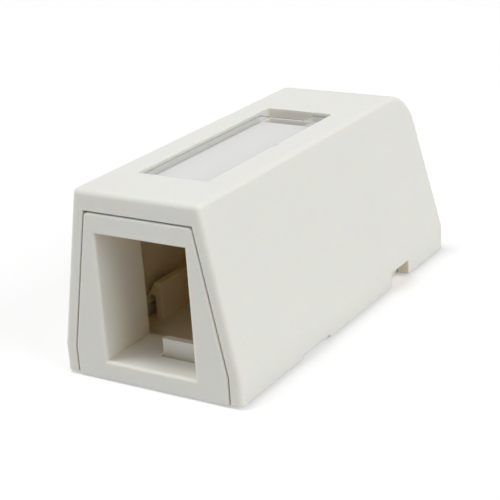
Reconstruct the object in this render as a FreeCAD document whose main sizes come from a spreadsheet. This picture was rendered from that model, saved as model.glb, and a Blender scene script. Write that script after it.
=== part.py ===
import FreeCAD, Part
import os
import re
import Sketcher
from FreeCAD import Vector

# Surface mount jack box, one port. Millimetres, +Z up, the port faces -Y.
# The model's origin is the bottom centre of the whole box. Each moulding is drawn
# in its own frame: y runs back from the front face, z up from the plate's underside.

doc = FreeCAD.newDocument("surface_mount_jack_box")

SIZES = [
    # outside of the box
    ("box_length", 64.2, "front face to the back of the plinth"),
    ("box_width", 29.2, "across the plinth"),
    ("box_height", 27.7, "plate underside to top face"),
    ("top_width", 20.2, "across the top, before rounding"),
    ("plinth_height", 4.1, "upright band round the bottom"),
    ("rear_lean", 3.3, "how far the back leans forward above the plinth"),
    ("rear_round", 6.5, "radius where the back meets the top"),
    ("edge_round", 0.8, "radius of the other outer edges"),
    # walls of the cover
    ("shell_wall", 1.9, "side, back and top walls"),
    ("top_wall", 3.0, "top wall round the label recess and at the front"),
    ("front_lip", 2.2, "length of the thick top wall across the front"),
    ("rim_lift", 0.2, "cover rim above the plate underside"),
    ("rim_round", 0.25, "small radius on the edges of the front gap"),
    ("run_out", 1.0, "how far a cut runs past the face it opens"),
    ("cover_gap", 0.22, "gap between cover and base"),
    ("seat_gap", 0.02, "cover ribs above the plate they sit on"),
    # label recess in the top of the cover
    ("recess_front", 8.9, "front face to label recess"),
    ("recess_width", 11.5, "across the recess"),
    ("recess_length", 35.0, "front to back of the recess"),
    ("recess_depth", 1.5, "below the top face"),
    ("recess_corner", 0.6, "corner radius of the recess"),
    ("tray_wall", 1.4, "thick wall left round the recess"),
    ("pry_width", 8.0, "fingernail slot at the back left of the recess"),
    ("pry_length", 2.7, "fingernail slot, front to back"),
    ("detent_centre", 17.6, "front of the recess to the label cover's nub"),
    ("detent_width", 1.4, "length of the nub's groove"),
    ("detent_depth", 0.35, "groove into the right side of the recess"),
    # label cover and card
    ("strip_thickness", 1.1, "clear label cover"),
    ("strip_gap", 0.12, "label cover to recess, all round"),
    ("strip_bevel", 0.25, "bevel of the label cover's top edges"),
    ("card_thickness", 0.25, "label card"),
    ("card_room", 0.05, "label card to label cover, above it"),
    ("card_gap", 0.1, "label card to its pocket, all round"),
    ("strip_rim", 0.7, "label cover's rim round the card"),
    # jack port in the base
    ("port_width", 14.7, "clear width of the jack port"),
    ("port_height", 18.8, "clear height of the jack port"),
    ("port_depth", 10.3, "length of the port's side walls"),
    ("port_round", 0.5, "radius of the port's front edges"),
    ("sill_height", 2.75, "plate underside to port floor"),
    ("sill_length", 4.4, "port floor in front of the groove"),
    ("catch_groove", 1.0, "groove in front of the catch for the jack's fixed hook"),
    ("catch_left", 1.5, "middle of the port to the catch's left end"),
    ("catch_width", 7.4, "catch across the port"),
    ("catch_height", 2.3, "catch above the port floor"),
    ("catch_top", 1.1, "flat top of the catch, front to back"),
    ("catch_length", 4.2, "catch front to back, with its slope"),
    ("port_wall", 1.1, "side walls of the port"),
    ("port_roof", 1.3, "roof of the port"),
    ("latch_window", 9.6, "width of the roof window for the jack's latch"),
    ("window_start", 4.9, "front face to the roof window"),
    ("window_length", 2.5, "front to back of the roof window"),
    ("front_wall", 2.4, "front frame of the base"),
    ("frame_round", 0.6, "top corners of the front frame"),
    # base plate
    ("plate_thickness", 1.8, "mounting plate"),
    ("plate_corner", 1.5, "rear corners of the plate"),
    ("gusset_length", 8.0, "gussets behind the front frame"),
    ("gusset_height", 14.0, "gussets behind the front frame"),
    ("gusset_wall", 1.2, "gusset thickness"),
    # snap arms of the base and their marks on the cover
    ("snap_centre", 20.35, "front face to the middle of the snaps"),
    ("snap_length", 7.0, "length of a snap arm"),
    ("snap_wall", 1.2, "thickness of a snap arm"),
    ("snap_height", 7.6, "plate underside to the top of a snap arm"),
    ("snap_nose", 1.0, "reach of a snap arm's nose"),
    ("snap_inset", 1.75, "snap arm's outer face to the plate's side edge"),
    ("snap_room", 0.12, "nose to the cover's catch ridge"),
    ("slot_length", 8.0, "slot in the cover rim over the pry tongue"),
    ("slot_height", 0.5, "slot above the cover rim"),
    ("tongue_length", 7.5, "pry tongue of the base"),
    ("tongue_reach", 1.3, "pry tongue beyond the plate's side edge"),
    ("tongue_thickness", 0.45, "pry tongue"),
    # pry notches near the back of the cover
    ("notch_start", 44.8, "front face to the notch"),
    ("notch_length", 6.0, "length of the notch"),
    ("notch_height", 2.6, "plate underside to the top of the notch"),
    # seat ribs inside the cover
    ("rib_first", 30.0, "front face to the first seat rib"),
    ("rib_pitch", 26.0, "first seat rib to the second"),
    ("rib_wall", 1.2, "seat rib thickness"),
    ("rib_reach", 1.2, "seat rib inward from the wall"),
    ("rib_height", 12.0, "top of the seat ribs"),
    # breakout for the cable in the back of the cover
    ("breakout_width", 9.0, "thin panel in the back wall"),
    ("breakout_height", 9.5, "plate underside to the top of the panel"),
    ("breakout_web", 0.8, "thickness of the panel"),
    # screw holes and cable tie bridge
    ("screw_first", 20.35, "front face to the first screw hole"),
    ("screw_pitch", 24.0, "between the two screw holes"),
    ("screw_hole", 3.6, "clear hole for a wood screw"),
    ("screw_head", 7.2, "countersink diameter"),
    ("screw_angle", 82, "countersink angle in degrees"),
    ("boss_width", 9.4, "raised ring round a screw hole"),
    ("boss_height", 0.7, "ring above the plate"),
    ("bridge_start", 50.8, "front face to the cable tie bridge"),
    ("bridge_length", 7.4, "cable tie bridge, front to back"),
    ("bridge_width", 5.0, "cable tie bridge, across"),
    ("bridge_height", 4.6, "plate underside to the top of the bridge"),
    ("tie_length", 3.9, "slot under the bridge"),
    ("tie_height", 1.5, "slot under the bridge"),
    # foam pads and liners under the base
    ("foam_width", 19.0, "foam pad across the box"),
    ("foam_length", 10.5, "foam pad front to back"),
    ("foam_thickness", 0.85, "foam pad"),
    ("foam_corner", 1.5, "corner radius"),
    ("foam_gap", 0.25, "foam pad to its hollow, all round"),
    ("hollow_depth", 0.7, "hollow for the pad in the plate underside"),
    ("hollow_front", 3.0, "front face to the front hollow"),
    ("hollow_rear", 3.0, "rear edge of the plate to the rear hollow"),
    ("liner_thickness", 0.15, "release liner"),
]

sheet = doc.addObject("Spreadsheet::Sheet", "Sizes")
for row, (alias, value, note) in enumerate(SIZES, start=1):
    sheet.set("A%d" % row, alias)
    sheet.set("B%d" % row, str(value))
    sheet.setAlias("B%d" % row, alias)
    sheet.set("C%d" % row, note)
doc.recompute()

# Sizes that follow from the ones above.
DERIVED = {
    "half_width": "box_width / 2",
    "side_slope": "(box_width - top_width) / 2 / (box_height - plinth_height)",
    "rear_slope": "rear_lean / (box_height - plinth_height)",
    "inner_half": "half_width - shell_wall",
    "plate_half": "inner_half - cover_gap",
    "frame_top": "box_height - top_wall - cover_gap",
    "plate_end": "box_length - shell_wall - cover_gap",
    "port_top": "sill_height + port_height",
    "tunnel_half": "port_width / 2 + port_wall",
    "lintel": "frame_top - port_top",
    "mouth_round": "min(port_round; lintel / 3)",
    "gap_round": "min(rim_round; lintel / 3)",
    "recess_rear": "recess_front + recess_length",
    "strip_half": "recess_width / 2 - strip_gap",
    "strip_end": "recess_length - strip_gap",
    "strip_cut": "recess_length - pry_length",
    "card_pocket": "card_thickness + card_room",
    "pocket_end": "strip_cut - strip_rim",
    "snap_face": "plate_half - snap_inset",
    "nose_low": "snap_height - 2 * snap_nose",
    "stand": "foam_thickness + liner_thickness - hollow_depth",
    "foam_start": "hollow_front + foam_gap",
    "rear_foam_start": "plate_end - hollow_rear - foam_gap - foam_length",
    "hollow_width": "foam_width + 2 * foam_gap",
    "hollow_length": "foam_length + 2 * foam_gap",
}
ALIASES = {alias for alias, value, note in SIZES}


def bind(text):
    """A sheet expression from a formula in the names above."""
    def swap(match):
        name = match.group(0)
        if name in DERIVED:
            return "(%s)" % bind(DERIVED[name])
        return "Sizes.%s" % name if name in ALIASES else name
    return re.sub(r"[a-z]\w*", swap, text)


def number(text):
    """The present value of a formula."""
    return float(sheet.evalExpression(bind(text)))


def body_named(label, y="0", z="0"):
    """A body whose own frame stands at y, z in the model, on the centre plane."""
    body = doc.addObject("PartDesign::Body", label)
    body.Label = label
    body.setExpression("Placement.Base.y", bind(y))
    body.setExpression("Placement.Base.z", bind(z))
    return body


def sketch_on(body, name, role, offset="0"):
    """A sketch on one of the body's origin planes, moved along the axis across it."""
    plane = [item for item in body.Origin.OriginFeatures if item.Role == role][0]
    sketch = body.newObject("Sketcher::SketchObject", name)
    sketch.AttachmentSupport = (plane, [""])
    sketch.MapMode = "FlatFace"
    sign = "-" if role == "XZ_Plane" else ""
    sketch.setExpression("AttachmentOffset.Base.z", "%s(%s)" % (sign, bind(offset)))
    return sketch


def hold(sketch, geometry, point, across, up):
    """Two driving dimensions from the sketch origin to a point of the geometry."""
    for kind, text in (("DistanceX", across), ("DistanceY", up)):
        value = number(text)
        if abs(value) < 1e-9:
            axis = -2 if kind == "DistanceX" else -1
            sketch.addConstraint(Sketcher.Constraint("PointOnObject", geometry, point, axis))
        elif value > 0:
            index = sketch.addConstraint(Sketcher.Constraint(kind, -1, 1, geometry, point, value))
            sketch.setExpression("Constraints[%d]" % index, bind(text))
        else:
            index = sketch.addConstraint(Sketcher.Constraint(kind, geometry, point, -1, 1, -value))
            sketch.setExpression("Constraints[%d]" % index, "-(%s)" % bind(text))


def outline(sketch, corners):
    """A closed polygon through corners given as (across, up) formulas."""
    spots = [Vector(number(across), number(up), 0) for across, up in corners]
    count = len(spots)
    lines = [sketch.addGeometry(Part.LineSegment(spots[i], spots[(i + 1) % count]), False)
             for i in range(count)]
    for i in range(count):
        following = lines[(i + 1) % count]
        sketch.addConstraint(Sketcher.Constraint("Coincident", lines[i], 2, following, 1))
    for line, (across, up) in zip(lines, corners):
        hold(sketch, line, 1, across, up)


def rectangle(sketch, left, right, low, high):
    outline(sketch, [(left, low), (right, low), (right, high), (left, high)])


def circle(sketch, across, up, diameter):
    centre = Vector(number(across), number(up), 0)
    radius = number(diameter) / 2
    index = sketch.addGeometry(Part.Circle(centre, Vector(0, 0, 1), radius), False)
    hold(sketch, index, 3, across, up)
    size = sketch.addConstraint(Sketcher.Constraint("Diameter", index, 2 * radius))
    sketch.setExpression("Constraints[%d]" % size, bind(diameter))


def pad(body, name, sketch, length, back=False, both=False):
    """Material from the sketch, along its normal, or back against it, or both ways."""
    before = body.Shape.Volume if body.Tip else 0.0
    feature = body.newObject("PartDesign::Pad", name)
    feature.Profile = sketch
    feature.setExpression("Length", bind(length))
    feature.Reversed = back
    feature.SideType = "Symmetric" if both else "One side"
    doc.recompute()
    if not feature.Shape.Volume > before:
        raise ValueError(name + " adds no material")
    return feature


def pocket(body, name, sketch, length=None, back=False, both=False):
    """A cut from the sketch, against its normal unless back is set. No length: all through."""
    before = body.Shape.Volume
    feature = body.newObject("PartDesign::Pocket", name)
    feature.Profile = sketch
    if length is None:
        feature.Type = "ThroughAll"
    else:
        feature.setExpression("Length", bind(length))
    feature.Reversed = back
    feature.SideType = "Symmetric" if both else "One side"
    doc.recompute()
    if not 0 < feature.Shape.Volume < before:
        raise ValueError(name + " cuts nothing")
    return feature


def ends(edge):
    return [vertex.Point for vertex in edge.Vertexes]


def near(value, text):
    return abs(value - number(text)) < 1e-4


def pick(body, rule):
    """Names of the edges of the body's last feature whose end points all meet a rule."""
    names = []
    for i, edge in enumerate(body.Tip.Shape.Edges, start=1):
        points = ends(edge)
        if points and rule(points, edge.CenterOfMass):
            names.append("Edge%d" % i)
    if not names:
        raise ValueError("no edge found")
    return names


def dress(body, kind, name, names, size):
    """A Fillet or Chamfer on picked edges of the last feature."""
    base = body.Tip
    feature = body.newObject("PartDesign::" + kind, name)
    feature.Base = (base, names)
    feature.setExpression("Radius" if kind == "Fillet" else "Size", bind(size))
    doc.recompute()
    return feature


def mirror(body, name, original):
    """The same feature again on the other side of the centre plane."""
    plane = [item for item in body.Origin.OriginFeatures if item.Role == "YZ_Plane"][0]
    feature = body.newObject("PartDesign::Mirrored", name)
    feature.Originals = [original]
    feature.MirrorPlane = (plane, [""])
    body.Tip = feature
    doc.recompute()
    return feature


def repeat(body, name, original, direction, pitch, count):
    """The same feature in a row, and the row again on the other side of the centre plane."""
    plane = [item for item in body.Origin.OriginFeatures if item.Role == "YZ_Plane"][0]
    feature = body.newObject("PartDesign::MultiTransform", name)
    feature.Originals = [original]
    row = body.newObject("PartDesign::LinearPattern", name + "Row")
    row.Direction = direction
    row.setExpression("Length", bind(pitch))
    row.Occurrences = count
    across = body.newObject("PartDesign::Mirrored", name + "Across")
    across.MirrorPlane = (plane, [""])
    feature.Transformations = [row, across]
    body.Tip = feature
    doc.recompute()
    return feature


def section(inset, low, high):
    """Box section, inset from the outside: upright plinth, then sides leaning in."""
    wide = "half_width - (%s)" % inset
    narrow = "%s - ((%s) - plinth_height) * side_slope" % (wide, high)
    right = [(wide, low), (wide, "plinth_height"), (narrow, high)]
    left = [("-(%s)" % across, up) for across, up in reversed(right)]
    return right + left


def leaning_block(body, name, inset, low, high, front, back, radius):
    """The box's outer form, or its hollow: section, leaning back and rounded rear top edge."""
    profile = sketch_on(body, name + "Section", "XZ_Plane", front)
    outline(profile, section(inset, low, high))
    pad(body, name + "Block", profile, "(%s) - (%s)" % (back, front), back=True)
    side = sketch_on(body, name + "BackLine", "YZ_Plane")
    top_back = "(%s) - ((%s) - plinth_height) * rear_slope" % (back, high)
    over = "(%s) + 5" % high
    past = "(%s) + 5" % back
    outline(side, [(back, "plinth_height"), (top_back, high), (top_back, over), (past, over),
                   (past, "plinth_height")])
    pocket(body, name + "Back", side, both=True)
    names = pick(body, lambda points, middle: all(
        near(point.y, top_back) and near(point.z, high) for point in points))
    dress(body, "Fillet", name + "Round", names, radius)


# ---------------------------------------------------------------- cover hollow
# The room inside the cover, open at the front and at the bottom, with the pocket
# that leaves only a thin panel in the back wall for the cable.
hollow = body_named("cover_hollow")
leaning_block(hollow, "Hollow", "shell_wall", "rim_lift - 2 * run_out", "box_height - shell_wall",
              "-2 * run_out", "box_length - shell_wall", "rear_round - shell_wall")
panel = sketch_on(hollow, "BreakoutLine", "YZ_Plane")
outline(panel, [
    ("box_length - shell_wall - run_out", "rim_lift - run_out"),
    ("box_length - breakout_web", "rim_lift - run_out"),
    ("box_length - breakout_web", "plinth_height"),
    ("box_length - breakout_web - (breakout_height - plinth_height) * rear_slope", "breakout_height"),
    ("box_length - shell_wall - 1 - (breakout_height - plinth_height) * rear_slope",
     "breakout_height"),
])
pad(hollow, "Breakout", panel, "breakout_width", both=True)

# ---------------------------------------------------------------- cover
# One moulding: trapezoid shell with plinth, leaning back and big rear round.
cover = body_named("cover", "-box_length / 2", "stand")
leaning_block(cover, "Shell", "0", "rim_lift", "box_height", "0", "box_length", "rear_round")


def outer_edge(points, middle):
    """Edges between a side and its neighbours, and the front top edge."""
    if all(near(point.z, "rim_lift") for point in points):
        return False
    if all(near(point.z, "plinth_height") for point in points):
        return False
    if plinth_corner(points, middle):
        return False
    if near(middle.y, "0") and near(middle.z, "box_height"):
        return True
    return abs(middle.x) > number("top_width / 2") - 0.01


def plinth_corner(points, middle):
    """The two upright edges at the back of the plinth."""
    return all(near(abs(point.x), "half_width") and near(point.y, "box_length")
               for point in points) and near(abs(middle.x), "half_width")


dress(cover, "Fillet", "OuterRound", pick(cover, outer_edge), "edge_round")
dress(cover, "Fillet", "PlinthCorners", pick(cover, plinth_corner), "edge_round")
scoop = cover.newObject("PartDesign::Boolean", "Hollowed")
scoop.Type = "Cut"
scoop.setObjects([hollow])
doc.recompute()

# Thick top wall: a lip across the front, and a tray under the label recess.
lip = sketch_on(cover, "LipSection", "XZ_Plane")
lip_low = "box_height - top_wall"
lip_high = "box_height - shell_wall / 2"
lip_wide = "half_width - shell_wall / 2 - (%s - plinth_height) * side_slope"
outline(lip, [
    (lip_wide % lip_low, lip_low), (lip_wide % lip_high, lip_high),
    ("-(" + lip_wide % lip_high + ")", lip_high), ("-(" + lip_wide % lip_low + ")", lip_low),
])
pad(cover, "FrontLip", lip, "front_lip", back=True)
tray = sketch_on(cover, "TrayPlan", "XY_Plane", "box_height - top_wall")
rectangle(tray, "-(recess_width / 2 + tray_wall)", "recess_width / 2 + tray_wall", "front_lip / 2",
          "recess_rear + tray_wall")
pad(cover, "Tray", tray, "top_wall - shell_wall / 2")

# Label recess, with a fingernail slot through its floor at the back left,
# and a groove in its right side for the label cover's nub.
recess = sketch_on(cover, "RecessPlan", "XY_Plane", "box_height")
rectangle(recess, "-recess_width / 2", "recess_width / 2", "recess_front", "recess_rear")
pocket(cover, "Recess", recess, "recess_depth")
corner_names = pick(cover, lambda points, middle: len(points) == 2
                    and near(abs(middle.x), "recess_width / 2")
                    and (near(middle.y, "recess_front") or near(middle.y, "recess_rear"))
                    and near(middle.z, "box_height - recess_depth / 2"))
dress(cover, "Fillet", "RecessCorners", corner_names, "recess_corner")
pry = sketch_on(cover, "PryPlan", "XY_Plane", "box_height - recess_depth / 2")
rectangle(pry, "-recess_width / 2 + recess_corner", "-recess_width / 2 + pry_width",
          "recess_rear - pry_length", "recess_rear - recess_corner / 2")
pocket(cover, "PrySlot", pry, "top_wall")
detent = sketch_on(cover, "DetentPlan", "XY_Plane", "box_height")
rectangle(detent, "recess_width / 4", "recess_width / 2 + detent_depth",
          "recess_front + detent_centre - detent_width / 2",
          "recess_front + detent_centre + detent_width / 2")
pocket(cover, "Detent", detent, "recess_depth")

# Bottom edge: a low slot over each pry tongue, and a notch near the back of each side.
slots = sketch_on(cover, "SlotLine", "YZ_Plane")
rectangle(slots, "snap_centre - slot_length / 2", "snap_centre + slot_length / 2",
          "rim_lift - run_out", "rim_lift + slot_height")
pocket(cover, "RimSlots", slots, both=True)
notches = sketch_on(cover, "NotchLine", "YZ_Plane")
rectangle(notches, "notch_start", "notch_start + notch_length", "rim_lift - run_out",
          "notch_height")
pocket(cover, "PryNotches", notches, both=True)

# Seat ribs: gussets on the side walls that stand on the base plate.
rib = sketch_on(cover, "RibLine", "XZ_Plane", "rib_first")
rib_low = "plate_thickness + seat_gap"
rib_foot = "inner_half - rib_reach"
rib_back = "inner_half + shell_wall / 2"
outline(rib, [
    (rib_foot, rib_low), (rib_back, rib_low), (rib_back, "plinth_height"),
    (rib_back + " - (rib_height - plinth_height) * side_slope", "rib_height"),
    ("inner_half - (rib_height - plinth_height) * side_slope", "rib_height"),
])
ribs = pad(cover, "SeatRib", rib, "rib_wall", back=True)
repeat(cover, "SeatRibs", ribs, (slots, ["H_Axis"]), "rib_pitch", 2)

# Catch ridges: each lies just under the nose of a snap arm, clear of its path.
ridge = sketch_on(cover, "RidgeLine", "XZ_Plane", "snap_centre - snap_length / 2")
ridge_tip = "snap_face + snap_nose + snap_room"
outline(ridge, [
    ("inner_half + shell_wall / 2", "plinth_height - 2 * snap_nose"), (ridge_tip, "plinth_height"),
    (ridge_tip, "nose_low - snap_room"), ("inner_half", "nose_low"),
    ("inner_half + shell_wall / 2", "nose_low"),
])
ridges = pad(cover, "CatchRidge", ridge, "snap_length", back=True)
mirror(cover, "CatchRidges", ridges)

# Small radius on the inner edge of the front opening.
rim_names = pick(cover, lambda points, middle: all(near(point.y, "0") for point in points)
                 and min(point.z for point in points) > number("rim_lift") - 0.01
                 and abs(middle.x) < number("half_width - shell_wall / 2")
                 - max(0, middle.z - number("plinth_height")) * number("side_slope")
                 and number("rim_lift") + 0.1 < middle.z < number("box_height - top_wall / 2"))
dress(cover, "Fillet", "RimRound", rim_names, "rim_round")

# ---------------------------------------------------------------- base
# One moulding: mounting plate, front frame with the jack port, snap arms.
base = body_named("base", "-box_length / 2", "stand")
plate = sketch_on(base, "PlatePlan", "XY_Plane")
rectangle(plate, "-plate_half", "plate_half", "0", "plate_end")
pad(base, "Plate", plate, "plate_thickness")
plate_corners = pick(base, lambda points, middle: near(middle.y, "plate_end")
                     and near(abs(middle.x), "plate_half"))
dress(base, "Fillet", "PlateCorners", plate_corners, "plate_corner")
tongues = sketch_on(base, "TonguePlan", "XY_Plane")
rectangle(tongues, "-(plate_half + tongue_reach)", "plate_half + tongue_reach",
          "snap_centre - tongue_length / 2", "snap_centre + tongue_length / 2")
pad(base, "PryTongues", tongues, "tongue_thickness")

# Front frame: it fills the cover's open front with a gap, flush with its face. Its block
# reaches back as far as the port, and behind the frame it is cut away to the port's walls.
frame_line = sketch_on(base, "FrameLine", "XZ_Plane")
outline(frame_line, section("shell_wall + cover_gap", "0", "frame_top"))
pad(base, "FrontFrame", frame_line, "port_depth", back=True)
frame_corners = pick(base, lambda points, middle: near(middle.z, "frame_top")
                     and near(middle.y, "port_depth / 2"))
dress(base, "Fillet", "FrameCorners", frame_corners, "frame_round")
tunnel = sketch_on(base, "TunnelLine", "XZ_Plane", "front_wall")
outline(tunnel, [
    ("-half_width", "plate_thickness"), ("-tunnel_half", "plate_thickness"),
    ("-tunnel_half", "port_top + port_roof"), ("tunnel_half", "port_top + port_roof"),
    ("tunnel_half", "plate_thickness"), ("half_width", "plate_thickness"),
    ("half_width", "box_height"), ("-half_width", "box_height"),
])
pocket(base, "TunnelSides", tunnel, "port_depth")
gusset = sketch_on(base, "GussetLine", "YZ_Plane", "tunnel_half")
outline(gusset, [
    ("front_wall / 2", "plate_thickness / 2"), ("front_wall + gusset_length", "plate_thickness / 2"),
    ("front_wall + gusset_length", "plate_thickness + gusset_wall"),
    ("front_wall", "plate_thickness + gusset_height"),
    ("front_wall / 2", "plate_thickness + gusset_height"),
])
gussets = pad(base, "Gusset", gusset, "gusset_wall")
mirror(base, "Gussets", gussets)

# Port: a tunnel through the frame. The jack's fixed hook drops into the groove in front of
# the catch, and its latch snaps into the window in the roof.
port = sketch_on(base, "PortLine", "XZ_Plane", "-run_out")
rectangle(port, "-port_width / 2", "port_width / 2", "sill_height", "port_top")
pocket(base, "Port", port, "port_depth + 2 * run_out")
groove = sketch_on(base, "GroovePlan", "XY_Plane", "sill_height")
rectangle(groove, "-catch_left", "catch_width - catch_left", "sill_length",
          "sill_length + catch_groove")
pocket(base, "HookGroove", groove, "sill_height - plate_thickness")
catch = sketch_on(base, "CatchLine", "YZ_Plane", "-catch_left")
catch_face = "sill_length + catch_groove"
outline(catch, [
    (catch_face, "plate_thickness / 2"), (catch_face + " + catch_length", "plate_thickness / 2"),
    (catch_face + " + catch_length", "sill_height"),
    (catch_face + " + catch_top", "sill_height + catch_height"),
    (catch_face, "sill_height + catch_height"),
])
pad(base, "Catch", catch, "catch_width")
window = sketch_on(base, "WindowPlan", "XY_Plane", "frame_top")
rectangle(window, "-latch_window / 2", "latch_window / 2", "window_start",
          "window_start + window_length")
pocket(base, "LatchWindow", window, "frame_top - port_top + port_height / 4")

# Snap arms: upright, with a nose towards the side wall.
arm = sketch_on(base, "SnapLine", "XZ_Plane", "snap_centre - snap_length / 2")
outline(arm, [
    ("snap_face - snap_wall", "plate_thickness / 2"), ("snap_face", "plate_thickness / 2"),
    ("snap_face", "nose_low"), ("snap_face + snap_nose", "nose_low"),
    ("snap_face", "snap_height"), ("snap_face - snap_wall", "snap_height"),
])
arms = pad(base, "SnapArm", arm, "snap_length", back=True)
mirror(base, "SnapArms", arms)

# Two countersunk screw holes on the centre line, each in a raised ring.
ring = sketch_on(base, "RingPlan", "XY_Plane", "plate_thickness / 2")
for place in ("screw_first", "screw_first + screw_pitch"):
    circle(ring, "0", place, "boss_width")
pad(base, "ScrewRings", ring, "plate_thickness / 2 + boss_height")
drill = sketch_on(base, "ScrewPlan", "XY_Plane", "plate_thickness + boss_height")
for place in ("screw_first", "screw_first + screw_pitch"):
    circle(drill, "0", place, "screw_hole")
doc.recompute()
solid_before = base.Shape.Volume
holes = base.newObject("PartDesign::Hole", "ScrewHoles")
holes.Profile = drill
holes.DepthType = "ThroughAll"
holes.setExpression("Diameter", bind("screw_hole"))
holes.HoleCutType = "Countersink"
holes.HoleCutCustomValues = True
holes.setExpression("HoleCutDiameter", bind("screw_head"))
holes.setExpression("HoleCutCountersinkAngle", bind("screw_angle"))
doc.recompute()
if not base.Shape.Volume < solid_before:
    raise ValueError("ScrewHoles cuts nothing")

# Cable tie bridge: the tie passes under it, across the box.
bridge = sketch_on(base, "BridgeLine", "YZ_Plane")
rectangle(bridge, "bridge_start", "bridge_start + bridge_length", "plate_thickness / 2",
          "bridge_height")
pad(base, "Bridge", bridge, "bridge_width", both=True)
tie = sketch_on(base, "TieLine", "YZ_Plane")
rectangle(tie, "bridge_start + (bridge_length - tie_length) / 2",
          "bridge_start + (bridge_length + tie_length) / 2", "plate_thickness",
          "plate_thickness + tie_height")
pocket(base, "TieSlot", tie, "bridge_width + 2 * run_out", both=True)

# Hollows in the underside for the foam pads.
hollows = sketch_on(base, "HollowPlan", "XY_Plane")
for start in ("hollow_front", "plate_end - hollow_rear - hollow_length"):
    rectangle(hollows, "-hollow_width / 2", "hollow_width / 2", start, start + " + hollow_length")
pocket(base, "PadHollows", hollows, "hollow_depth", back=True)

# Small radii: round the port's mouth and on the frame's front edge along the gap. Both are
# limited by the frame's wall above the port.
mouth = pick(base, lambda points, middle: all(near(point.y, "0") for point in points)
             and abs(middle.x) < number("port_width / 2") + 0.01
             and number("sill_height") - 0.01 < middle.z < number("port_top") + 0.01)
dress(base, "Fillet", "PortMouth", mouth, "mouth_round")
gap_line = pick(base, lambda points, middle: all(near(point.y, "0") for point in points)
                and middle.z > 0.1
                and (middle.z > number("frame_top - 2 * frame_round")
                     or abs(middle.x) > number("port_width / 2 + port_round") + 0.2))
dress(base, "Fillet", "FrameFace", gap_line, "gap_round")

# ---------------------------------------------------------------- label cover and card
# The clear strip stands on the recess floor round the card and is lifted by its cut corner.
strip = body_named("label_cover", "recess_front - box_length / 2",
                   "stand + box_height - recess_depth")
strip_plan = sketch_on(strip, "StripPlan", "XY_Plane")
outline(strip_plan, [
    ("-strip_half", "strip_gap"), ("strip_half", "strip_gap"), ("strip_half", "strip_end"),
    ("-recess_width / 2 + pry_width", "strip_end"), ("-recess_width / 2 + pry_width", "strip_cut"),
    ("-strip_half", "strip_cut"),
])
pad(strip, "Strip", strip_plan, "strip_thickness")
strip_corners = pick(strip, lambda points, middle: near(middle.z, "strip_thickness / 2")
                     and near(abs(middle.x), "strip_half"))
dress(strip, "Fillet", "StripCorners", strip_corners, "recess_corner")
strip_top = pick(strip, lambda points, middle: all(near(point.z, "strip_thickness")
                                                   for point in points))
dress(strip, "Chamfer", "StripBevel", strip_top, "strip_bevel")
nub = sketch_on(strip, "NubPlan", "XY_Plane")
rectangle(nub, "recess_width / 4", "recess_width / 2 + detent_depth - strip_gap",
          "detent_centre - detent_width / 2 + strip_gap",
          "detent_centre + detent_width / 2 - strip_gap")
pad(strip, "Nub", nub, "strip_thickness - strip_bevel - card_pocket")
pocket_plan = sketch_on(strip, "CardPocketPlan", "XY_Plane")
rectangle(pocket_plan, "-(strip_half - strip_rim)", "strip_half - strip_rim",
          "strip_gap + strip_rim", "pocket_end")
pocket(strip, "CardPocket", pocket_plan, "card_pocket", back=True)


def slab(label, half, start, end, thickness, corner, y, z):
    """A flat sheet piece with rounded corners."""
    body = body_named(label, y, z)
    plan = sketch_on(body, label + "_plan", "XY_Plane")
    rectangle(plan, "-(%s)" % half, half, start, end)
    pad(body, label + "_sheet", plan, thickness)
    if corner:
        names = pick(body, lambda points, middle: near(middle.z, "(%s) / 2" % thickness))
        dress(body, "Fillet", label + "_corners", names, corner)
    return body


slab("label_card", "strip_half - strip_rim - card_gap", "strip_gap + strip_rim + card_gap",
     "pocket_end - card_gap", "card_thickness", None, "recess_front - box_length / 2",
     "stand + box_height - recess_depth")

# ---------------------------------------------------------------- foam pads and liners
for place, start in (("front", "foam_start"), ("rear", "rear_foam_start")):
    y = "%s - box_length / 2" % start
    slab("foam_pad_" + place, "foam_width / 2", "0", "foam_length", "foam_thickness",
         "foam_corner", y, "liner_thickness")
    slab("release_liner_" + place, "foam_width / 2", "0", "foam_length", "liner_thickness",
         "foam_corner", y, "0")

# ---------------------------------------------------------------- checks and export
doc.recompute()
for item in doc.Objects:
    if "Invalid" in item.State or "Error" in item.State:
        raise ValueError("failed: " + item.Label)
PIECES = ["cover", "base", "label_cover", "label_card", "foam_pad_front", "foam_pad_rear",
          "release_liner_front", "release_liner_rear"]
os.makedirs("parts", exist_ok=True)
for name in PIECES:
    piece = doc.getObject(name)
    if piece.Shape.isNull() or not piece.Shape.isValid() or len(piece.Shape.Solids) != 1:
        raise ValueError("bad solid: " + name)
for name in PIECES:
    piece = doc.getObject(name)
    piece.Shape.exportStep("parts/%s.step" % piece.Label)
    print("%-20s %9.1f mm3" % (piece.Label, piece.Shape.Volume))
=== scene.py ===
import math

import bpy
from mathutils import Matrix, Vector

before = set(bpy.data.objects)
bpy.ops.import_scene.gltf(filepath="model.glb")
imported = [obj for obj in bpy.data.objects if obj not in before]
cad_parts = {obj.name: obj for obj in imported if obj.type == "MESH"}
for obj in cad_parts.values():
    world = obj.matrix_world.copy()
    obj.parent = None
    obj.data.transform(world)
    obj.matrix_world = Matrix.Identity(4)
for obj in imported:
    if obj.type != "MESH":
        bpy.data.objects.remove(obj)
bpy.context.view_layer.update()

MM = 0.001

# ---------------------------------------------------------------- housing: base and cover
# The base with its jack port, and the cover that clips over it: two mouldings of the same
# off-white ABS, injection moulded, with a fine spark-eroded texture on every face.


def linear(code):
    """An sRGB hex colour as linear RGBA."""
    channels = [int(code[i:i + 2], 16) / 255 for i in (1, 3, 5)]
    return [c / 12.92 if c <= 0.04045 else ((c + 0.055) / 1.055) ** 2.4 for c in channels] + [1.0]


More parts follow.
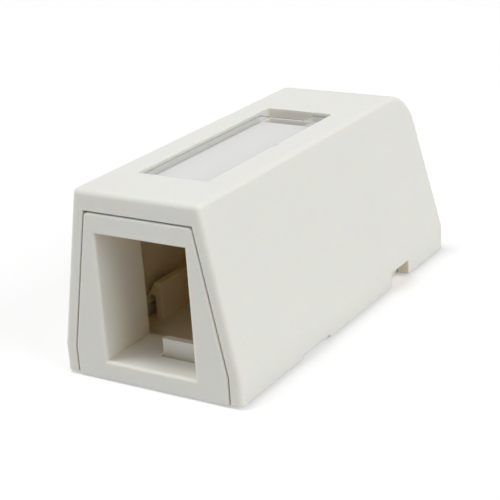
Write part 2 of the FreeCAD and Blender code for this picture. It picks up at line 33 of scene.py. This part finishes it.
def add_node(tree, kind, inputs=None, **settings):
    """One shader node: its settings, and its inputs given as values or as sockets to link."""
    made = tree.nodes.new(kind)
    for name, value in settings.items():
        setattr(made, name, value)
    for name, value in (inputs or {}).items():
        if isinstance(value, bpy.types.NodeSocket):
            tree.links.new(value, made.inputs[name])
        else:
            made.inputs[name].default_value = value
    return made


def new_material(name, **finish):
    """A material and its Principled shader, with an even finish set on the shader's sockets."""
    material = bpy.data.materials.new(name)
    material.use_nodes = True
    tree = material.node_tree
    tree.nodes.clear()
    shader = add_node(tree, "ShaderNodeBsdfPrincipled", {
        socket.replace("_", " "): value for socket, value in finish.items()})
    add_node(tree, "ShaderNodeOutputMaterial", {"Surface": shader.outputs["BSDF"]})
    return material, tree, shader


def mottle(tree, size, low, high, detail=2.0):
    """A noise of one grain size on the piece's own coordinates, as a number from low to high."""
    position = add_node(tree, "ShaderNodeTexCoord")
    noise = add_node(tree, "ShaderNodeTexNoise", {
        "Vector": position.outputs["Object"], "Scale": 1 / size, "Detail": detail})
    return add_node(tree, "ShaderNodeMapRange", {
        "Value": noise.outputs["Fac"], "To Min": low, "To Max": high}).outputs["Result"]


def dress(material, *names):
    """Every material slot of these nodes of the frame gets the material."""
    for name in names:
        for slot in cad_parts[name].material_slots:
            slot.material = material


# A Mix node's colours go in at the first two of these sockets and come out at the third. They
# are numbered, because its sockets for plain numbers have the same names.
MIX_FIRST, MIX_SECOND, MIX_RESULT = 6, 7, 2

# Moulded ABS, off-white: satin from the eroded mould, with a little light in its skin that
# softens the edges. The eroded grain is drawn coarser than the real one, so that it shows.
ABS_OPEN = "#ECECE6"
ABS_SKIN = 0.5 * MM
ABS_SKIN_TINT = (1.0, 0.8, 0.6)
ABS_GRAIN = 0.30 * MM
ABS_GRAIN_DEPTH = 0.006 * MM
ABS_ROUGH_LOW, ABS_ROUGH_HIGH = 0.42, 0.54
ABS_FLOW = 14 * MM
ABS_FLOW_LOW, ABS_FLOW_HIGH = 0.985, 1.015

# Deep in the hollow, where light only goes from wall to wall, a cream tone is painted in: painted
# warm shade that stands for the dim light coming through the walls. The fine gaps between the
# mouldings don't get it; they get a little painted grey shade instead. Both go by how much of the
# surroundings is open within reach, from 0 to 1.
HOLLOW_WARM_SHADE = "#F6D9A2"
HOLLOW_REACH = 40 * MM
HOLLOW_OPEN = 0.22
GAP_REACH = 3 * MM
GAP_CLOSED, GAP_OPEN = 0.05, 0.3
GAP_SHADE_OPEN = 0.45
GAP_SHADE_LEVEL = 0.9
OPENNESS_RAYS = 8

moulded_abs, tree, shader = new_material(
    "moulded_abs_offwhite", IOR=1.53, Subsurface_Weight=1.0,
    Subsurface_Radius=ABS_SKIN_TINT, Subsurface_Scale=ABS_SKIN)
outlook = add_node(tree, "ShaderNodeAmbientOcclusion", {"Distance": HOLLOW_REACH},
                   samples=OPENNESS_RAYS)
enclosed = add_node(tree, "ShaderNodeMapRange", {
    "Value": outlook.outputs["AO"], "From Max": HOLLOW_OPEN, "To Min": 1.0, "To Max": 0.0})
elbow_room = add_node(tree, "ShaderNodeAmbientOcclusion", {"Distance": GAP_REACH},
                      samples=OPENNESS_RAYS)
roomy = add_node(tree, "ShaderNodeMapRange", {
    "Value": elbow_room.outputs["AO"], "From Min": GAP_CLOSED, "From Max": GAP_OPEN})
# painted warm shade: the cream tone is mixed in where the hollow is closed in, but not in the
# fine gaps
hollow = add_node(tree, "ShaderNodeMath", {
    0: enclosed.outputs["Result"], 1: roomy.outputs["Result"]}, operation="MULTIPLY")
tone = add_node(tree, "ShaderNodeMix", {
    "Factor": hollow.outputs["Value"], MIX_FIRST: linear(ABS_OPEN),
    MIX_SECOND: linear(HOLLOW_WARM_SHADE)}, data_type="RGBA")
# painted shade: the fine gaps between the mouldings are greyed by how closed in they are
gap_shade = add_node(tree, "ShaderNodeMapRange", {
    "Value": elbow_room.outputs["AO"], "From Max": GAP_SHADE_OPEN, "To Min": GAP_SHADE_LEVEL,
    "To Max": 1.0})
brightness = add_node(tree, "ShaderNodeMath", {
    0: gap_shade.outputs["Result"],
    1: mottle(tree, ABS_FLOW, ABS_FLOW_LOW, ABS_FLOW_HIGH, detail=1.0)}, operation="MULTIPLY")
colour = add_node(tree, "ShaderNodeHueSaturation", {
    "Color": tone.outputs[MIX_RESULT], "Value": brightness.outputs["Value"]})
tree.links.new(colour.outputs["Color"], shader.inputs["Base Color"])
tree.links.new(mottle(tree, ABS_GRAIN, ABS_ROUGH_LOW, ABS_ROUGH_HIGH),
               shader.inputs["Roughness"])
grain = add_node(tree, "ShaderNodeBump", {
    "Height": mottle(tree, ABS_GRAIN, 0.0, 1.0), "Distance": ABS_GRAIN_DEPTH})
tree.links.new(grain.outputs["Normal"], shader.inputs["Normal"])
dress(moulded_abs, "base", "cover")

# ---------------------------------------------------------------- label card
# A slip of uncoated white card, cut to size, that lies in the pocket under the clear strip.
# The paper's fibres make it quite dull, and very slightly uneven.
CARD_WHITE = "#EFEFED"
CARD_FIBRE = 0.12 * MM
CARD_LOW, CARD_HIGH = 0.97, 1.03

card_stock, tree, shader = new_material("uncoated_card_white", Roughness=0.85)
colour = add_node(tree, "ShaderNodeHueSaturation", {
    "Color": linear(CARD_WHITE),
    "Value": mottle(tree, CARD_FIBRE, CARD_LOW, CARD_HIGH, detail=3.0)})
tree.links.new(colour.outputs["Color"], shader.inputs["Base Color"])
dress(card_stock, "label_card")

# ---------------------------------------------------------------- label cover
# A clear strip of moulded polycarbonate, with a light etch from its mould. It is pushed into
# the recess over the card and lifted with a fingernail at its cut corner.
STRIP_FACE = "#EDEEEF"
STRIP_BEVEL_SHADE = "#6A6C6E"
FACE_HAZE, WALL_HAZE, BEVEL_HAZE = 0.12, 0.25, 0.45
BEVEL_SLOPE = math.radians(45)
BEVEL_MARGIN = 0.2
ETCH = 0.25 * MM
ETCH_ROUGH_LOW, ETCH_ROUGH_HIGH = 0.18, 0.26

# Clear and slightly hazy: the flat faces let the card show through, and the upright edges do so
# less. The bevel round the top turns the light away; its dark grey is painted shade for that, so
# that it draws the strip's outline as a thin grey line. The etch is drawn coarser than the real
# one, so that it shows.
clear_strip, tree, shader = new_material("etched_polycarbonate_clear", IOR=1.58)
slope = add_node(tree, "ShaderNodeSeparateXYZ", {
    0: add_node(tree, "ShaderNodeNewGeometry").outputs["Normal"]})
flatness = add_node(tree, "ShaderNodeMath", {0: slope.outputs["Z"]}, operation="ABSOLUTE")
bevel = add_node(tree, "ShaderNodeMath", {
    0: flatness.outputs["Value"], 1: math.cos(BEVEL_SLOPE), 2: BEVEL_MARGIN},
    operation="COMPARE")
# painted shade: the bevel's faces are mixed to a dark grey
tone = add_node(tree, "ShaderNodeMix", {
    "Factor": bevel.outputs["Value"], MIX_FIRST: linear(STRIP_FACE),
    MIX_SECOND: linear(STRIP_BEVEL_SHADE)}, data_type="RGBA")
even_haze = add_node(tree, "ShaderNodeMapRange", {
    "Value": flatness.outputs["Value"], "To Min": WALL_HAZE, "To Max": FACE_HAZE})
haze = add_node(tree, "ShaderNodeMath", {
    0: bevel.outputs["Value"], 1: BEVEL_HAZE, 2: even_haze.outputs["Result"]},
    operation="MULTIPLY_ADD")
tree.links.new(tone.outputs[MIX_RESULT], shader.inputs["Base Color"])
tree.links.new(haze.outputs["Value"], shader.inputs["Alpha"])
tree.links.new(mottle(tree, ETCH, ETCH_ROUGH_LOW, ETCH_ROUGH_HIGH), shader.inputs["Roughness"])
dress(clear_strip, "label_cover")

# ---------------------------------------------------------------- foam pads
# Two die-cut pads of double-sided closed-cell foam tape, stuck in the hollows under the base.
# The cut cells give their edges a dull, pitted look.
FOAM_WHITE = "#DEDDD6"
FOAM_CELL = 0.25 * MM
FOAM_CELL_DEPTH = 0.05 * MM

foam, tree, shader = new_material(
    "closed_cell_foam_white", Base_Color=linear(FOAM_WHITE), Roughness=0.8)
position = add_node(tree, "ShaderNodeTexCoord")
cells = add_node(tree, "ShaderNodeTexVoronoi", {
    "Vector": position.outputs["Object"], "Scale": 1 / FOAM_CELL})
pits = add_node(tree, "ShaderNodeBump", {
    "Height": cells.outputs["Distance"], "Strength": 0.6, "Distance": FOAM_CELL_DEPTH})
tree.links.new(pits.outputs["Normal"], shader.inputs["Normal"])
dress(foam, "foam_pad_front", "foam_pad_rear")

# ---------------------------------------------------------------- release liners
# Buff paper on the foam's sticky face, peeled off before the box is mounted. Its silicone
# coat gives it a low gloss over the cloudy fibres.
LINER_BUFF = "#D9CFAE"
LINER_FIBRE = 0.5 * MM
LINER_LOW, LINER_HIGH = 0.94, 1.06

liner, tree, shader = new_material("silicone_release_paper", Roughness=0.35)
colour = add_node(tree, "ShaderNodeHueSaturation", {
    "Color": linear(LINER_BUFF),
    "Value": mottle(tree, LINER_FIBRE, LINER_LOW, LINER_HIGH, detail=4.0)})
tree.links.new(colour.outputs["Color"], shader.inputs["Base Color"])
dress(liner, "release_liner_front", "release_liner_rear")

# ---------------------------------------------------------------- stage
# A plain white paper floor that keeps a soft shadow, in a white room. Both look white to the
# eye and in reflections, and light the object at a lower, even level.
FLOOR_HALF = 3.0
FLOOR_LIT = 0.75
FLOOR_SEEN = 0.37
ROOM_LIGHT = 0.39
WHITE = (1, 1, 1, 1)

scene = bpy.context.scene
scene.view_settings.view_transform = "Standard"


def seen_directly(tree):
    """1 for camera, mirror and glass rays, 0 for the rays that light the object."""
    rays = add_node(tree, "ShaderNodeLightPath")
    either = add_node(tree, "ShaderNodeMath", {
        0: rays.outputs["Is Camera Ray"], 1: rays.outputs["Is Glossy Ray"]}, operation="MAXIMUM")
    return add_node(tree, "ShaderNodeMath", {
        0: either.outputs["Value"], 1: rays.outputs["Is Transmission Ray"]},
        operation="MAXIMUM").outputs["Value"]


floor_mesh = bpy.data.meshes.new("floor")
floor_mesh.from_pydata([(-FLOOR_HALF, -FLOOR_HALF, 0), (FLOOR_HALF, -FLOOR_HALF, 0),
                        (FLOOR_HALF, FLOOR_HALF, 0), (-FLOOR_HALF, FLOOR_HALF, 0)], [],
                       [(0, 1, 2, 3)])
floor = bpy.data.objects.new("floor", floor_mesh)
scene.collection.objects.link(floor)
paper, tree, shader = new_material(
    "white_backdrop_paper", Base_Color=(FLOOR_LIT, FLOOR_LIT, FLOOR_LIT, 1), Roughness=1.0,
    Specular_IOR_Level=0.0, Emission_Color=WHITE)
glow = add_node(tree, "ShaderNodeMath", {0: seen_directly(tree), 1: FLOOR_SEEN},
                operation="MULTIPLY")
tree.links.new(glow.outputs["Value"], shader.inputs["Emission Strength"])
floor_mesh.materials.append(paper)

world = bpy.data.worlds.new("white_room")
scene.world = world
world.use_nodes = True
tree = world.node_tree
tree.nodes.clear()
level = add_node(tree, "ShaderNodeMapRange", {
    "Value": seen_directly(tree), "To Min": ROOM_LIGHT, "To Max": 1.0})
room = add_node(tree, "ShaderNodeBackground", {
    "Color": WHITE, "Strength": level.outputs["Result"]})
add_node(tree, "ShaderNodeOutputWorld", {"Surface": room.outputs["Background"]})

# ---------------------------------------------------------------- lamps
# Three soft boxes: a small one nearly overhead, a little to the left and front, a large one
# low on the right that lifts the long side, and a weak one low on the left.
LAMP_AIM = Vector((0, 0, 10 * MM))


def soft_box(name, place, size, power):
    """A square area lamp at a place in metres, facing the middle of the box."""
    lamp = bpy.data.lights.new(name, "AREA")
    lamp.size = size
    lamp.energy = power
    made = bpy.data.objects.new(name, lamp)
    made.matrix_world = Matrix.Translation(place) @ (
        LAMP_AIM - Vector(place)).to_track_quat("-Z", "Y").to_matrix().to_4x4()
    scene.collection.objects.link(made)


soft_box("overhead", (-0.25, -0.17, 1.10), size=0.2, power=3.8)
soft_box("right_side", (1.0, -0.05, 0.55), size=0.8, power=5.5)
soft_box("left_side", (-1.0, -0.35, 0.45), size=0.6, power=2.0)

# ---------------------------------------------------------------- camera
# It stands to the right of the port and above it, and is tipped a little to the left.
CAMERA_PLACE = Vector((103.73, -166.12, 83.36)) * MM
CAMERA_AZIMUTH = math.radians(32.656)
CAMERA_ELEVATION = math.radians(21.468)
CAMERA_ROLL = math.radians(-3.820)

ahead = Vector((-math.sin(CAMERA_AZIMUTH) * math.cos(CAMERA_ELEVATION),
                math.cos(CAMERA_AZIMUTH) * math.cos(CAMERA_ELEVATION),
                -math.sin(CAMERA_ELEVATION)))
level_right = Vector((math.cos(CAMERA_AZIMUTH), math.sin(CAMERA_AZIMUTH), 0))
level_up = level_right.cross(ahead)
right = math.cos(CAMERA_ROLL) * level_right + math.sin(CAMERA_ROLL) * level_up
up = -math.sin(CAMERA_ROLL) * level_right + math.cos(CAMERA_ROLL) * level_up

lens = bpy.data.cameras.new("camera")
lens.sensor_width = 36
lens.lens = 98.72
lens.shift_x = -0.0081
lens.shift_y = 0.0367
lens.clip_start = 10 * MM
camera = bpy.data.objects.new("camera", lens)
camera.matrix_world = Matrix.Translation(CAMERA_PLACE) @ (
    Matrix((right, up, -ahead)).transposed().to_4x4())
scene.collection.objects.link(camera)
scene.camera = camera
